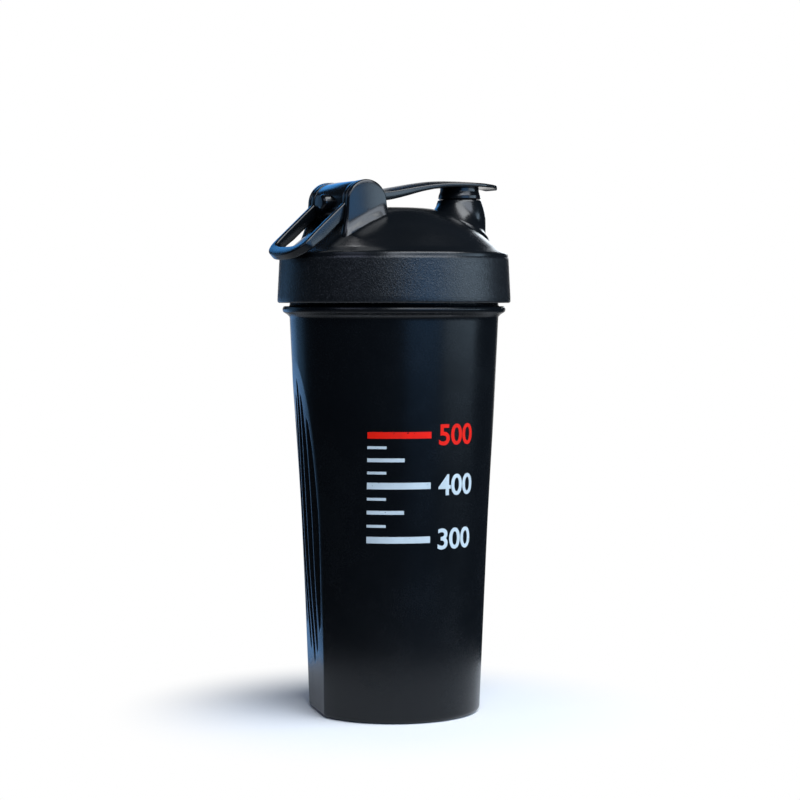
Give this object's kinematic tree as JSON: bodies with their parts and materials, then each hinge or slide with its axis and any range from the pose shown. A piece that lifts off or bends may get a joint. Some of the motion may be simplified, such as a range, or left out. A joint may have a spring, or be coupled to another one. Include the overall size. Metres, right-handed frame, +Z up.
{
  "type": "protein shaker bottle",
  "caption": "Tapered shaker cup with ribbed thumb grips, screw lid with drinking spout, hinged flip cap and carry loop, seal ring and loose wire whisk ball.",
  "frame": {"origin": "centre of the cup's foot, on the surface that the bottle stands on", "axes": "+Z up along the bottle's axis; +X from the hinge towards the drinking spout; the hinge axis lies along Y"},
  "size_m": [0.104, 0.0988, 0.2254],
  "materials": {
    "cup_plastic": "near-black satin polypropylene",
    "lid_plastic": "near-black satin polypropylene with a fine speckle on the skirt",
    "seal_silicone": "matt grey silicone",
    "cap_plastic": "near-black glossy polypropylene",
    "loop_plastic": "near-black glossy polypropylene",
    "whisk_steel": "bright drawn stainless wire"
  },
  "bodies": {
    "cup": {"cup": "cup_plastic"},
    "seal": {"lid_seal": "seal_silicone"},
    "lid": {"screw_lid": "lid_plastic"},
    "flip_cap": {"flip_cap": "cap_plastic"},
    "carry_loop": {"carry_loop": "loop_plastic"},
    "whisk": {"whisk_ball": "whisk_steel"}
  },
  "joints": [
    {"name": "lid_rise", "type": "slide", "parent": "cup", "child": "seal", "axis": [0, 0, 1], "range_m": [0, 0.0325]},
    {"name": "lid_turn", "type": "hinge", "parent": "seal", "child": "lid", "pos_m": [0, 0, 0.1733], "axis": [0, 0, 1], "range_deg": [0, 1440]},
    {"name": "cap_hinge", "type": "hinge", "parent": "lid", "child": "flip_cap", "pos_m": [-0.0225, 0, 0.2151], "axis": [0, -1, 0], "range_deg": [0, 140]},
    {"name": "loop_hinge", "type": "hinge", "parent": "lid", "child": "carry_loop", "pos_m": [-0.0225, 0, 0.2151], "axis": [0, 1, 0], "range_deg": [0, 132]},
    {"name": "whisk_slide", "type": "slide", "parent": "cup", "child": "whisk", "axis": [0, 0, 1], "range_m": [0, 0.12]}
  ],
  "couplings": [
    {"joint": "lid_rise", "follows": "lid_turn", "m_per_rad": 0.0012732}
  ]
}
